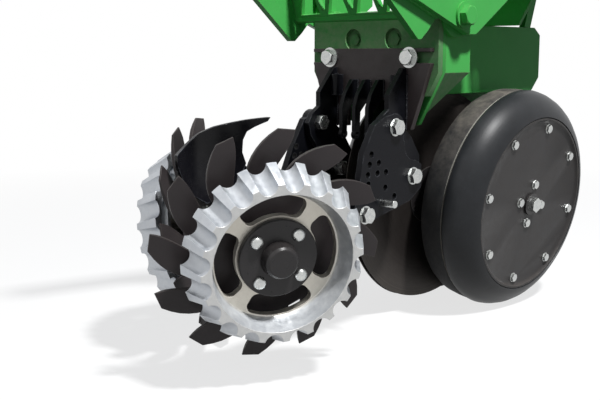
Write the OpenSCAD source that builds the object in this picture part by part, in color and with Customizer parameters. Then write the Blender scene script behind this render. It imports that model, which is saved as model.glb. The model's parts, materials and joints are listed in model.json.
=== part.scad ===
// Front end of a planter row unit with a floating row cleaner.
// Millimetres. Forward is -Y, up is +Z, the machine's left side is +X.
// The origin is the middle of the upper link pivot axis.

/* [Row unit] */
// Diameter of the two opener discs
disc_d = 381; // [370:1:384]
// Thickness of an opener disc
disc_t = 4; // [3:0.5:5]
// Outside diameter of the gauge wheel tyres
tyre_d = 406; // [396:1:410]
// Wall thickness of the seed tube
tube_wall = 3; // [2:0.5:4]
// Top height of the frame over the tyre bottoms
frame_top = 512; // [506:1:520]

/* [Row cleaner] */
// Tip circle diameter of the toothed wheels
tip_d = 347; // [330:1:352]
// Number of teeth on a toothed wheel
teeth = 12; // [8:1:14]
// Plate thickness of a toothed wheel
tooth_t = 6; // [4:0.5:7]
// Sweep angle of a tooth from root to tip
sweep = 24; // [10:1:30]
// Largest diameter of the cast floater wheels, at the back
floater_d = 270; // [262:1:274]
// Number of lugs on a floater wheel
lugs = 20; // [12:1:24]
// Toe angle of the cleaner wheels
toe = 24.5; // [20:0.5:26]
// Camber angle of the cleaner wheels
camber = 11; // [8:0.5:13]
// How far the right wheel sits behind the left one
stagger = 58; // [40:1:70]
// Diameter of the hub bolt circle
hub_pcd = 86; // [82:1:92]

/* [Fits] */
// Radial clearance of every turning joint
run = 0.05; // [0.03:0.01:0.09]

/* [Hidden] */
$fn = 64;

// Heights are measured from the ground under the tyres, then shifted by place().
origin_y = 58;
origin_z = 700;
// Plate planes
face_y = 18;
bulk_y = 30;
side_x = 130;
side_t = 8;
head_x = side_x + side_t;
arm_x = 145;
arm_t = 12;
// Row unit pivots, as [y, z]
link_p = [58, 530];
upper_p = [58, 700];
link_front = [-304, 676];
gauge_p = [470, 300];
// Opener discs
disc_c = [22.5, 153, 217];
disc_toe = 4.5;
disc_camber = 4;
// Gauge wheels
gauge_c = [105, 290, 203];
gauge_toe = 0.5;
gauge_camber = 6.9;
elbow = [372, 250];
arm_end = [gauge_c[1], gauge_c[2] + 55 * sin(gauge_camber)];
// Row cleaner
bolt_x = 88;
bolt_z = 463;
lug_x = 72;
lug_t = 10;
carm_x = 84;
carm_t = 12;
bar_t = 14;
float_p = [-36, 352];
slot_p = [12, 269];
hub_c = [137, -336, 188];
tube_p = [-165, 222];
pin_p = [-70, 233];
lock_p = [-107, 217];
shield_c = [60, -310];
shield_r = 120;
slot_r = norm(slot_p - float_p);
slot_a = atan2(slot_p[1] - float_p[1], slot_p[0] - float_p[0]);
tip_r = tip_d / 2;
root_r = tip_r - 70;
fl_r = floater_d / 2;
tyre_r = tyre_d / 2;
disc_r = disc_d / 2;
green = [0.20, 0.55, 0.22];
black = [0.10, 0.09, 0.09];
zinc = [0.78, 0.79, 0.80];
alu = [0.82, 0.82, 0.80];
rubber = [0.07, 0.07, 0.08];
steel = [0.30, 0.28, 0.27];

module place() {
    translate([0, -origin_y, -origin_z]) children();
}

// A flat drawn in y, z and extruded along x.
module yz(x0, x1) {
    translate([x0, 0, 0]) rotate([90, 0, 90]) linear_extrude(x1 - x0) children();
}

// A flat drawn in x, z and extruded along y.
module xz(y0, y1) {
    translate([0, y1, 0]) rotate([90, 0, 0]) linear_extrude(y1 - y0) children();
}

module right() {
    mirror([1, 0, 0]) children();
}

module both() {
    children();
    right() children();
}

// A cylinder along x through a point given as [y, z].
module bar_x(x0, x1, p, r) {
    translate([x0, p[0], p[1]]) rotate([0, 90, 0]) cylinder(r = r, h = x1 - x0);
}

module hex_x(x0, x1, p, r) {
    translate([x0, p[0], p[1]]) rotate([0, 90, 0]) cylinder(r = r, h = x1 - x0, $fn = 6);
}

// Local +Z becomes the outward axle of a left wheel.
module wheel_at(c, t, k) {
    translate(c) rotate([0, 90 + k, -t]) children();
}

module ring(r0, r1, w0, w1) {
    translate([0, 0, w0]) difference() {
        cylinder(r = r1, h = w1 - w0);
        translate([0, 0, -1]) cylinder(r = r0, h = w1 - w0 + 2);
    }
}

module rod(r, w0, w1) {
    translate([0, 0, w0]) cylinder(r = r, h = w1 - w0);
}

module hex(r, w0, w1) {
    translate([0, 0, w0]) cylinder(r = r, h = w1 - w0, $fn = 6);
}

module spin(n, r, a0 = 0) {
    for (i = [0 : n - 1]) rotate(a0 + i * 360 / n) translate([r, 0, 0]) children();
}

// Two round ends joined by their outer tangents.
module link2d(p, r, q, s) {
    d = norm(q - p);
    a = atan2(q[1] - p[1], q[0] - p[0]);
    b = acos((r - s) / d);
    translate(p) circle(r);
    translate(q) circle(s);
    polygon([p + r * [cos(a + b), sin(a + b)], q + s * [cos(a + b), sin(a + b)],
        q + s * [cos(a - b), sin(a - b)], p + r * [cos(a - b), sin(a - b)]]);
}

// Frame

module face_plate() color(green) place() difference() {
    xz(face_y, bulk_y) polygon([[-head_x, 438], [-117, 400], [117, 400], [head_x, 438],
        [head_x, 522], [head_x - 6, 528], [6 - head_x, 528], [-head_x, 522]]);
    for (x = [-44.5, 44.5]) translate([x, face_y, 493]) rotate([-90, 0, 0]) {
        translate([0, 0, -1]) cylinder(r = 18, h = 8);
        cylinder(r = 8.5, h = 20);
    }
    for (x = [-bolt_x, bolt_x]) translate([x, face_y - 1, bolt_z]) rotate([-90, 0, 0])
        cylinder(r = 8.8, h = 20);
}

module face_bolts() color(green) place() {
    for (x = [-44.5, 44.5]) translate([x, face_y + 7, 493]) rotate([-90, 0, 0]) {
        translate([0, 0, -4]) cylinder(r = 11, h = 4, $fn = 6);
        cylinder(r = 8, h = 13);
    }
}

module bulkhead() color(green) place() difference() {
    xz(bulk_y, bulk_y + 8) polygon([[-head_x, frame_top], [head_x, frame_top],
        [head_x, 438], [91, 352], [48, 352], [48, 398], [-48, 398], [-48, 352],
        [-91, 352], [-head_x, 438]]);
    for (x = [-44.5, 44.5]) translate([x, bulk_y - 1, 493]) rotate([-90, 0, 0])
        cylinder(r = 8.5, h = 12);
    for (x = [-bolt_x, bolt_x]) translate([x, bulk_y - 1, bolt_z]) rotate([-90, 0, 0])
        cylinder(r = 8.8, h = 12);
}

// The head's side folds in below and tapers to nothing at the bulkhead.
module slant_wall() intersection() {
    xz(bulk_y + 8, 110) polygon([[head_x, 438], [side_x, 438], [88, 362], [96, 362]]);
    yz(60, 160) polygon([[bulk_y, 363], [105, 438], [bulk_y, 440]]);
}

module left_slant_wall() color(green) place() slant_wall();

module right_slant_wall() color(green) place() right() slant_wall();

module side_plate() difference() {
    union() {
        yz(side_x, head_x) polygon([[bulk_y + 8, 438], [106, 438], [106, 520], [100, 560],
            [96, 716], [80, 733], [36, 733], [20, 716], [20, 560], [bulk_y + 8, 530]]);
        bar_x(head_x, arm_x - 0.4, link_p, 36);
    }
    bar_x(side_x - 1, arm_x, link_p, 12.3);
    bar_x(side_x - 1, head_x + 1, upper_p, 12.5);
}

module left_side_plate() color(green) place() side_plate();

module right_side_plate() color(green) place() right() side_plate();

// Open underneath, so it is a folded channel.
module mid_beam() color(green) place() intersection() {
    xz(bulk_y + 8, 462) polygon([[-55, 398], [-55, frame_top + 8], [55, frame_top + 8],
        [55, 398], [47, 398], [47, frame_top], [-47, frame_top], [-47, 398]]);
    yz(-60, 60) polygon([[0, 390], [430, 390], [463, 424], [463, 505], [440, frame_top + 9],
        [0, frame_top + 9]]);
}

module shank_leg() color(green) place() difference() {
    union() {
        yz(-7, 7) polygon([[98, 258], [98, 150], [128, 118], [186, 118], [206, 150], [206, 258]]);
        yz(-12, 12) polygon([[75, 413], [75, 340], [98, 272], [98, 253], [206, 253], [206, 325],
            [330, 345], [438, 275], [470, 264], [500, 285], [506, 315], [430, 413]]);
        yz(-47, 47) polygon([[80, 412], [430, 412], [430, 424], [80, 424]]);
    }
    bar_x(-13, 13, gauge_p, 14.2);
}

module seed_tube() color(black) place() difference() {
    yz(-11, 11) polygon([[206, 320], [240, 320], [246, 160], [272, 48], [246, 42],
        [214, 150], [206, 240]]);
    yz(-11 + tube_wall, 11 - tube_wall) polygon([[206 + tube_wall, 330],
        [240 - tube_wall, 330], [246 - tube_wall, 160], [272, 30], [241, 30],
        [214 + tube_wall, 150], [206 + tube_wall, 240]]);
}

module disc_spindles() color(steel) place() both() difference() {
    wheel_at(disc_c, disc_toe, disc_camber) {
        rod(20, -40, -11.5);
        rod(8, -12, 1);
        hex(12, -0.5, 5.5);
    }
    translate([-60, 0, 0]) cube([67, 300, 400]);
}

module gauge_shaft() color(steel) place() {
    bar_x(-54, 54, gauge_p, 14);
    hex_x(46.6, 56, gauge_p, 21);
    hex_x(-56, -46.6, gauge_p, 21);
}

module link_bolts() color(green) place() both() {
    bar_x(118, arm_x + arm_t + 1, link_p, 12);
    bar_x(arm_x + arm_t + 0.5, arm_x + arm_t + 4, link_p, 22);
    hex_x(arm_x + arm_t + 3, arm_x + arm_t + 16, link_p, 17);
    hex_x(118, side_x, link_p, 18);
}

// Flat deck that carries the hopper, on a front panel and two raked posts.
module hopper_deck() color(green) place() {
    difference() {
        translate([-185, 200, 600]) cube([370, 270, 6]);
        translate([0, 223, 590]) cylinder(r = 15, h = 30);
        for (x = [-165, 165], y = [220, 450]) translate([x, y, 590]) cylinder(r = 6, h = 30);
    }
    xz(290, 298) polygon([[-112, frame_top + 8], [112, frame_top + 8], [138, 566], [138, 601],
        [-138, 601], [-138, 566]]);
    both() yz(40, 52) polygon([[408, frame_top + 8], [430, frame_top + 8], [458, 601], [436, 601]]);
}

// Lower parallel arms

module link_arm() difference() {
    yz(arm_x, arm_x + arm_t) union() {
        polygon([[74, 499], [94, 500], [186, 559], [186, 586], [136, 624], [-40, 640],
            [-292, 711], [-316, 642]]);
        translate(link_front) circle(39);
    }
    bar_x(arm_x - 1, arm_x + arm_t + 1, link_p, 12 + run);
    bar_x(arm_x - 1, arm_x + arm_t + 1, link_front, 12.5);
}

module left_link_arm() color(green) place() link_arm();

module right_link_arm() color(green) place() right() link_arm();

// One casting: a steep ribbed web with triangular windows, and a cheek against each arm.
module link_web() color(green) place() {
    translate([0, -22, 524]) rotate([106, 0, 0]) difference() {
        translate([-arm_x + 11, 0, 0]) cube([2 * arm_x - 22, 104, 9]);
        for (x = [-96, -32, 32, 96]) translate([x, 14, -1]) linear_extrude(11)
            polygon([[-23, 0], [23, 0], [3, 66], [-3, 66]]);
        for (x = [-64, 0, 64]) translate([x, 22, -1]) linear_extrude(11)
            polygon([[-3, 0], [3, 0], [22, 60], [-22, 60]]);
    }
    translate([11 - arm_x, -34, 524]) cube([2 * arm_x - 22, 24, 7]);
    translate([11 - arm_x, -60, 618]) cube([2 * arm_x - 22, 14, 12]);
    both() yz(arm_x - 12, arm_x) polygon([[-44, 491], [-36, 491], [-20, 504], [6, 530], [6, 600],
        [-60, 640], [-130, 640], [-140, 571]]);
}

// Row cleaner bracket

module bracket_plate() color(black) place() difference() {
    xz(face_y - 10, face_y) polygon([[-130, 478], [130, 478], [130, 452], [118, 416],
        [92, 345], [48, 345], [48, 392], [-48, 392], [-48, 345], [-92, 345],
        [-118, 416], [-130, 452]]);
    both() translate([bolt_x, face_y - 11, bolt_z]) {
        rotate([-90, 0, 0]) cylinder(r = 9, h = 12);
        translate([0, 0, -9]) cube([60, 12, 18]);
    }
}

module bracket_lug() {
    difference() {
        yz(lug_x, lug_x + lug_t) polygon([[face_y - 10, 446], [0, 446], [-36, 404],
            [-36, 380], [-54, 368], [-64, 352], [-58, 330], [-34, 300], [-34, 250],
            [-18, 232], [28, 232], [46, 254], [46, 300], [22, 334], [face_y - 10, 344]]);
        bar_x(lug_x - 1, lug_x + lug_t + 1, float_p, 8.2);
        for (k = [0 : 2 : 18]) bar_x(lug_x - 1, lug_x + lug_t + 1,
            float_p + slot_r * [cos(slot_a + 1 - k), sin(slot_a + 1 - k)], 9);
    }
    translate([lug_x - 7, -4, 398]) cylinder(r = 7, h = 36);
    translate([lug_x - 7, -4, 398]) translate([-7, 0, 0]) cube([14, 12, 36]);
}

module left_bracket_lug() color(black) place() bracket_lug();

module right_bracket_lug() color(black) place() right() bracket_lug();

module centre_lugs() color(black) place() {
    for (x = [-33, -4, 25]) difference() {
        yz(x, x + 8) union() {
            polygon([[face_y - 10, 426], [-4, 426], [-22, 402], [-30, 380], [-30, 334],
                [-18, 334], [-16, 372], [face_y - 10, 396]]);
            translate([-24, 334]) circle(8);
        }
        bar_x(x - 1, x + 9, [-24, 334], 4);
    }
}

module bracket_bolts() color(zinc) place() {
    for (x = [-bolt_x, bolt_x]) translate([x, face_y - 10, bolt_z]) rotate([90, 0, 0]) {
        rod(17, 0, 3);
        hex(13.6, 2, 13);
        rod(8, -46, 3);
        hex(13.6, -44, -30);
    }
}

module float_bolts() color(zinc) place() both() {
    hex_x(carm_x + carm_t + 0.5, carm_x + carm_t + 11, float_p, 14);
    bar_x(60, carm_x + carm_t + 1, float_p, 8);
    hex_x(60, lug_x, float_p, 14);
}

// Opener discs

module opener_disc() wheel_at(disc_c, disc_toe, disc_camber) difference() {
    rotate_extrude($fn = 128) polygon([[21, -disc_t / 2], [disc_r - 8, -disc_t / 2],
        [disc_r, disc_t / 4], [disc_r, disc_t / 2], [21, disc_t / 2]]);
    spin(6, 45) translate([0, 0, -5]) cylinder(r = 3.3, h = 10);
}

module disc_hub() wheel_at(disc_c, disc_toe, disc_camber) {
    difference() {
        rotate_extrude() polygon([[8 + run, -11], [28, -11], [28, -disc_t / 2],
            [20.6, -disc_t / 2], [20.6, disc_t / 2], [52, disc_t / 2], [52, 4.5], [30, 5.5],
            [24, 8], [0, 8], [0, 6.6], [15, 6.6], [15, -1], [8 + run, -1]]);
        translate([0, 0, -12]) cylinder(r = 8 + run, h = 11.5);
    }
    spin(6, 45) {
        rod(3, -disc_t / 2 - 3, 5);
        rod(5, 4, 6.5);
        rod(5, -disc_t / 2 - 3, -disc_t / 2);
    }
}

module left_opener_disc() color(steel) place() opener_disc();

module left_disc_hub() color(black) place() disc_hub();

module right_opener_disc() color(steel) place() right() opener_disc();

module right_disc_hub() color(black) place() right() disc_hub();

// Gauge wheels

module gauge_wheel() wheel_at(gauge_c, gauge_toe, gauge_camber) children();

module gauge_arm() difference() {
    union() {
        bar_x(14, 46, gauge_p, 30);
        yz(28, 44) link2d(gauge_p, 28, elbow, 22);
        bar_x(28, 62, elbow, 20);
        yz(46, 62) link2d(elbow, 22, arm_end, 22);
    }
    bar_x(13, 47, gauge_p, 14 + run);
    gauge_wheel() rod(10.3, -80, 0);
}

module gauge_axle() {
    difference() {
        gauge_wheel() rod(10, -66, 49);
        translate([0, 200, 100]) cube([46, 250, 200]);
    }
    gauge_wheel() {
        rod(20, 46.5, 50);
        hex(14, 49, 61);
    }
    difference() {
        gauge_wheel() rod(15, -60, -4.5);
        translate([0, 200, 100]) cube([62, 250, 200]);
    }
}

module tyre() gauge_wheel() rotate_extrude($fn = 128) polygon([[157, -53], [170, -57],
    [184, -57], [tyre_r - 9, -52], [tyre_r - 4, -42], [tyre_r - 2, -25], [tyre_r - 1.5, -8],
    [tyre_r - 3, -4], [tyre_r - 0.5, -1], [tyre_r, 2], [tyre_r - 2, 12], [tyre_r - 7, 24],
    [tyre_r - 15, 35], [tyre_r - 25, 44], [tyre_r - 35, 50], [161, 52], [160, 50], [160, 42],
    [168, 36], [178, 22], [182, 0], [180, -25], [172, -42], [157, -45]]);

module rim_outer() gauge_wheel() difference() {
    rotate_extrude($fn = 128) polygon([[13, 42], [152, 42], [157, 45], [159.5, 51],
        [156, 51], [153.5, 48], [150, 46], [13, 46]]);
    spin(8, 140, 35) translate([0, 0, 30]) cylinder(r = 5.2, h = 30);
    spin(4, 36, -9) translate([0, 0, 30]) cylinder(r = 5.2, h = 30);
}

module rim_inner() gauge_wheel() difference() {
    rotate_extrude($fn = 128) polygon([[100, 38], [149, 38], [152, 34], [152, -53],
        [156.5, -53], [156.5, 37], [151, 42], [100, 42]]);
    spin(8, 140, 35) translate([0, 0, 30]) cylinder(r = 5.2, h = 20);
}

module rim_bolts() gauge_wheel() {
    spin(8, 140, 35) {
        hex(8, 46, 51);
        rod(4.8, 34, 47);
        hex(8, 33, 38);
    }
    spin(4, 36, -9) {
        hex(8, 46, 51);
        rod(4.8, 26, 47);
        hex(8, 28, 34);
    }
}

module gauge_hub() gauge_wheel() difference() {
    rotate_extrude() polygon([[10 + run, -4], [26, -4], [26, 34], [48, 34], [48, 42],
        [10 + run, 42]]);
    translate([0, 0, -9]) cylinder(r = 10 + run, h = 60);
    spin(4, 36, -9) translate([0, 0, 20]) cylinder(r = 5.2, h = 30);
}

module left_gauge_arm() color(green) place() gauge_arm();

module left_gauge_axle() color(zinc) place() gauge_axle();

module right_gauge_arm() color(green) place() right() gauge_arm();

module right_gauge_axle() color(zinc) place() right() gauge_axle();

module left_tyre() color(rubber) place() tyre();

module left_rim_outer() color(steel) place() rim_outer();

module left_rim_inner() color(steel) place() rim_inner();

module left_rim_bolts() color(zinc) place() rim_bolts();

module left_gauge_hub() color(black) place() gauge_hub();

module right_tyre() color(rubber) place() right() tyre();

module right_rim_outer() color(steel) place() right() rim_outer();

module right_rim_inner() color(steel) place() right() rim_inner();

module right_rim_bolts() color(zinc) place() right() rim_bolts();

module right_gauge_hub() color(black) place() right() gauge_hub();

// Row cleaner arms

// Front edges differ because the wheels are staggered.
module cleaner_arm(back) difference() {
    yz(carm_x, carm_x + carm_t) difference() {
        union() {
            polygon([[-36, 374], [-62 + back, 370], [-86 + back, 358], [-112 + back, 315],
                [-121 + back / 2, 268], [-134, 226], [-134, 196], [-85, 208], [4, 228],
                [34, 248], [34, 287], [16, 296], [-14, 330], [-14, 352]]);
            translate(float_p) circle(22);
        }
        translate([16, 322]) circle(27);
        translate(slot_p) circle(8.3);
        translate(lock_p) circle(8.3);
        translate(pin_p) circle(6.2);
        for (i = [0 : 2]) translate([-94 + back / 2 - 4 * i, 312 - 16 * i]) circle(5.2);
        for (i = [0 : 1]) translate([-76 + back / 4 - 3 * i, 297 - 16 * i]) circle(5.2);
        translate([-58, 281]) circle(5.2);
        translate([-101, 265]) circle(5.2);
        translate([-59, 256]) circle(5.2);
        translate([-36, 240]) circle(5.2);
    }
    bar_x(carm_x - 1, carm_x + carm_t + 1, float_p, 8 + run);
}

module left_cleaner_arm() color(black) place() cleaner_arm(0);

module right_cleaner_arm() color(black) place() right() cleaner_arm(24);

module cross_tube() color(black) place() difference() {
    bar_x(-carm_x + bar_t + 0.5, carm_x - bar_t - 0.5, tube_p, 15);
    bar_x(-carm_x, carm_x, tube_p, 10);
}

module cleaner_wheel(back) wheel_at(hub_c + [0, back, 0], toe, camber) children();

// A flat bar that bends in to the wheel and carries its spindle.
module hub_bar(back) {
    difference() {
        union() {
            yz(carm_x - bar_t - 0.5, carm_x - 0.5) polygon([[-48, 214], [-48, 246],
                [-60, 250], [-90, 248], [-150, 246], [-264 + back, 232],
                [-264 + back, 178], [-150, 192], [-60, 206]]);
            cleaner_wheel(back) translate([-27, -28, -92]) cube([54, 66, bar_t]);
            cleaner_wheel(back) rod(30, -92, -78);
            cleaner_wheel(back) rod(20, -79, -62);
        }
        bar_x(50, 90, lock_p, 8.3);
        bar_x(50, 90, pin_p, 6.2);
    }
    cleaner_wheel(back) {
        rod(12, -70, -6);
        rod(9, -7, 10);
        hex(14, -5, 7);
    }
}

module left_hub_bar() color(black) place() hub_bar(0);

module right_hub_bar() color(black) place() right() hub_bar(stagger);

module arm_bolts() color(zinc) place() both() {
    for (p = [slot_p, lock_p]) {
        hex_x(carm_x + carm_t, carm_x + carm_t + 11, p, 14);
        bar_x(58, carm_x + carm_t + 1, p, 8);
    }
    hex_x(58, lug_x - 1, slot_p, 14);
    hex_x(57, carm_x - bar_t - 0.5, lock_p, 14);
}

module stop_pins() color(zinc) place() both() {
    bar_x(66, 126, pin_p, 6);
}

module shield_shell() difference() {
    translate([shield_c[0], shield_c[1], 200]) ring(shield_r - 6, shield_r, 0, 200);
    translate([30, -500, 150]) cube([300, 400, 300]);
}

// One rolled plate, trimmed to a nose in front and a swept tip behind.
module shield() color(black) place() intersection() {
    shield_shell();
    yz(-90, 40) polygon([[-378, 322], [-356, 331], [-318, 350], [-288, 359], [-241, 368],
        [-216, 372], [-219, 365], [-233, 356], [-242, 349], [-247, 336], [-248, 318],
        [-243, 300], [-250, 278], [-270, 252], [-305, 240], [-344, 262], [-357, 279],
        [-376, 305]]);
}

module shield_rod() color(black) place() difference() {
    translate([-28, tube_p[0], tube_p[1]]) rotate([48, 0, 0]) rotate([0, -8.8, 0])
        cylinder(r = 7, h = 130);
    bar_x(-80, 80, tube_p, 15);
    translate([shield_c[0], shield_c[1], 150]) cylinder(r = shield_r, h = 300);
}

// Row cleaner wheels

// One edge point of tooth k at t from root to tip. The edge with s = 1 bulges, the other hooks.
function tooth_edge(k, s, t) = let (r = root_r + (tip_r - root_r) * t,
    a = s > 0 ? 9 - (sweep - 1.5) * pow(t, 1.5) : (sweep - 11) * (pow(1 - t, 2) - 1) - 9,
    b = (360 * k + 12 * a) / teeth) r * [cos(b), sin(b)];

module tooth_outline() {
    n = 8;
    polygon([for (k = [0 : teeth - 1]) each concat(
        [for (i = [0 : n]) tooth_edge(k, -1, i / n)],
        [for (i = [n : -1 : 0]) tooth_edge(k, 1, i / n)])]);
}

// Flat plate, ground thinner at the tips.
module tooth_wheel(back) cleaner_wheel(back) difference() {
    intersection() {
        translate([0, 0, -47 - tooth_t]) linear_extrude(tooth_t + 2) rotate(12) tooth_outline();
        rotate_extrude() polygon([[20, -46 - tooth_t], [tip_r - 16, -46 - tooth_t],
            [tip_r + 4, -47 - tooth_t / 2], [tip_r + 4, -45 - tooth_t / 2],
            [tip_r - 16, -46], [20, -46]]);
    }
    spin(4, hub_pcd / 2, 52) translate([0, 0, -60]) cylinder(r = 5.3, h = 20);
}

// Cast bowl: recessed web with four kidney windows, and a coned rim of notched lugs.
module floater(back) cleaner_wheel(back) difference() {
    union() {
        rotate_extrude($fn = 96) polygon([[31, -22], [31, -10], [92, -10], [95, -6],
            [fl_r - 33.5, 24], [fl_r - 18.5, 24], [fl_r - 17, 22.5], [fl_r, -20], [fl_r - 18, -20],
            [fl_r - 25, -2], [fl_r - 29, -2], [fl_r - 34, -22]]);
        spin(4, hub_pcd / 2, 52) rod(11, -46, -20);
    }
    spin(lugs, fl_r - 6.5, 14.5) translate([0, 0, 2]) rotate([0, -21.5, 0])
        translate([0, 0, -50]) cylinder(r = 14, h = 100);
    spin(4, hub_pcd / 2, 52) translate([0, 0, -60]) cylinder(r = 5.3, h = 60);
    for (i = [0 : 3]) rotate(7 + 90 * i) translate([0, 0, -30]) kidney();
}

// Points i to j of n on an arc about p.
function arc(p, r, a, b, i, j, n) = [for (k = [i : j]) let (t = a + (b - a) * k / n)
    p + r * [cos(t), sin(t)]];

// A ring sector with round corners.
module kidney() {
    r0 = 60;
    r1 = 90;
    c = 11;
    o = 36 - asin(c / (r1 - c));
    q = 36 - asin(c / (r0 + c));
    po = (r1 - c) * [cos(o), sin(o)];
    pq = (r0 + c) * [cos(q), sin(q)];
    linear_extrude(30) polygon(concat(arc([0, 0], r1, -o, o, 0, 12, 12),
        arc(po, c, o, o + 90, 1, 5, 5), arc(pq, c, q + 90, q + 180, 0, 5, 5),
        arc([0, 0], r0, q, -q, 1, 7, 8), arc([pq[0], -pq[1]], c, 180 - q, 270 - q, 0, 5, 5),
        arc([po[0], -po[1]], c, -o - 90, -o, 0, 4, 5)));
}

module cleaner_hub(back) cleaner_wheel(back) difference() {
    rotate_extrude() polygon([[12 + run, -44], [30, -44], [30, -10], [57.5, -10],
        [57.5, -1.5], [56, 0], [19, 0], [19, -8], [12 + run, -8]]);
    translate([0, 0, -50]) cylinder(r = 12 + run, h = 44);
    spin(4, hub_pcd / 2, 52) translate([0, 0, -20]) cylinder(r = 5.3, h = 30);
}

module hub_cap(back) cleaner_wheel(back) rotate_extrude() polygon([[0, 20], [20, 20],
    [24, 16], [26, 4], [27, 0], [20, 0], [20, 15], [0, 15]]);

module hub_bolts(back) cleaner_wheel(back) spin(4, hub_pcd / 2, 52) {
    rod(10, 0, 3);
    hex(8.5, 3, 9);
    rod(5, -46 - tooth_t - 8, 1);
    hex(9, -46 - tooth_t - 8, -46 - tooth_t);
}

module left_tooth_wheel() color(black) place() tooth_wheel(0);

module left_floater() color(alu) place() floater(0);

module left_cleaner_hub() color(black) place() cleaner_hub(0);

module left_hub_cap() color(black) place() hub_cap(0);

module left_hub_bolts() color(zinc) place() hub_bolts(0);

module right_tooth_wheel() color(black) place() right() tooth_wheel(stagger);

module right_floater() color(alu) place() right() floater(stagger);

module right_cleaner_hub() color(black) place() right() cleaner_hub(stagger);

module right_hub_cap() color(black) place() right() hub_cap(stagger);

module right_hub_bolts() color(zinc) place() right() hub_bolts(stagger);

face_plate();
face_bolts();
bulkhead();
left_side_plate();
right_side_plate();
left_slant_wall();
right_slant_wall();
mid_beam();
shank_leg();
seed_tube();
disc_spindles();
gauge_shaft();
link_bolts();
hopper_deck();
bracket_plate();
left_bracket_lug();
right_bracket_lug();
centre_lugs();
bracket_bolts();
float_bolts();
left_link_arm();
right_link_arm();
link_web();
left_opener_disc();
left_disc_hub();
right_opener_disc();
right_disc_hub();
left_gauge_arm();
left_gauge_axle();
right_gauge_arm();
right_gauge_axle();
left_tyre();
left_rim_outer();
left_rim_inner();
left_rim_bolts();
left_gauge_hub();
right_tyre();
right_rim_outer();
right_rim_inner();
right_rim_bolts();
right_gauge_hub();
left_cleaner_arm();
right_cleaner_arm();
cross_tube();
left_hub_bar();
right_hub_bar();
arm_bolts();
stop_pins();
shield();
shield_rod();
left_tooth_wheel();
left_floater();
left_cleaner_hub();
left_hub_cap();
left_hub_bolts();
right_tooth_wheel();
right_floater();
right_cleaner_hub();
right_hub_cap();
right_hub_bolts();
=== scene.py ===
import json
import math

import bmesh
import bpy
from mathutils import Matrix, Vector

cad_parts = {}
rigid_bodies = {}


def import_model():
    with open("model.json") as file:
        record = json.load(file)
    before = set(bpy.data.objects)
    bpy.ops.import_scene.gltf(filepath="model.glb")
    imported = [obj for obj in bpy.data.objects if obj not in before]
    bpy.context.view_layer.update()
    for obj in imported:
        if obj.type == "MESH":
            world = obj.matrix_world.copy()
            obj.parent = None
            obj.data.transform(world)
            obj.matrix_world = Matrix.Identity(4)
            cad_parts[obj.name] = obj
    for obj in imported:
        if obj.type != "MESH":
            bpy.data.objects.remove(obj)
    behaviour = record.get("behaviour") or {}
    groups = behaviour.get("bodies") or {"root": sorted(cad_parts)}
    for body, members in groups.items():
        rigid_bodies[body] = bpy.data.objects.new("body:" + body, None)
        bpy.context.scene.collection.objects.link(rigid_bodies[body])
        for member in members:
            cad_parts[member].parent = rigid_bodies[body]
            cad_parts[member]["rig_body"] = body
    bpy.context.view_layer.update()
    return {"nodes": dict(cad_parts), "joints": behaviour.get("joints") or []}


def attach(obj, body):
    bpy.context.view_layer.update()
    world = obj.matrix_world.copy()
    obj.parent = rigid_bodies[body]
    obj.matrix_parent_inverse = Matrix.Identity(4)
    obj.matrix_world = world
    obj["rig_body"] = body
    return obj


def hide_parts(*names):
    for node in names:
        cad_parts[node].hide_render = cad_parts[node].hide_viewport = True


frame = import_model()

# Photo stand
# A pale floor under the tyres and a white room. One lamp stands high on the unit's left, as the sun
# does in a field, and a wide weak one fills the front.
scene = bpy.context.scene
scene.view_settings.view_transform = "Standard"


def hexa(code):
    """An sRGB hex colour as linear RGBA."""
    parts = [int(code[i:i + 2], 16) / 255 for i in (1, 3, 5)]
    return [c / 12.92 if c <= 0.04045 else ((c + 0.055) / 1.055) ** 2.4 for c in parts] + [1.0]


def add(tree, kind, settings=None, sockets=None):
    """One node with its settings, and its inputs set or linked. A Mix takes its two numbers on inputs 2
    and 3, and its two colours on 6 and 7."""
    made = tree.nodes.new(kind)
    for key, value in (settings or {}).items():
        setattr(made, key, value)
    for key, value in (sockets or {}).items():
        socket = made.inputs[key]
        for one in value if socket.is_multi_input else [value]:
            if isinstance(one, bpy.types.NodeSocket):
                tree.links.new(one, socket)
            else:
                socket.default_value = one
    return made


def seen_directly(tree):
    """One where a ray comes from the camera, a mirror or glass, and nought elsewhere."""
    path = add(tree, "ShaderNodeLightPath")
    both = add(tree, "ShaderNodeMath", {"operation": "MAXIMUM"},
               {0: path.outputs["Is Camera Ray"], 1: path.outputs["Is Glossy Ray"]})
    return add(tree, "ShaderNodeMath", {"operation": "MAXIMUM"},
               {0: both.outputs[0], 1: path.outputs["Is Transmission Ray"]}).outputs[0]


def blank(name):
    """A new material and its empty tree."""
    made = bpy.data.materials.new(name)
    made.use_nodes = True
    made.node_tree.nodes.clear()
    return made, made.node_tree


room = bpy.data.worlds.new("white_room")
scene.world = room
room.use_nodes = True
sky = room.node_tree
sky.nodes.clear()
soft_sky = add(sky, "ShaderNodeBackground", None, {"Color": hexa("#d2dff4"), "Strength": 0.15})
white_sky = add(sky, "ShaderNodeBackground", None, {"Color": (1, 1, 1, 1), "Strength": 1.0})
sky_mix = add(sky, "ShaderNodeMixShader", None,
              {0: seen_directly(sky), 1: soft_sky.outputs[0], 2: white_sky.outputs[0]})
add(sky, "ShaderNodeOutputWorld", None, {"Surface": sky_mix.outputs[0]})

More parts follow.
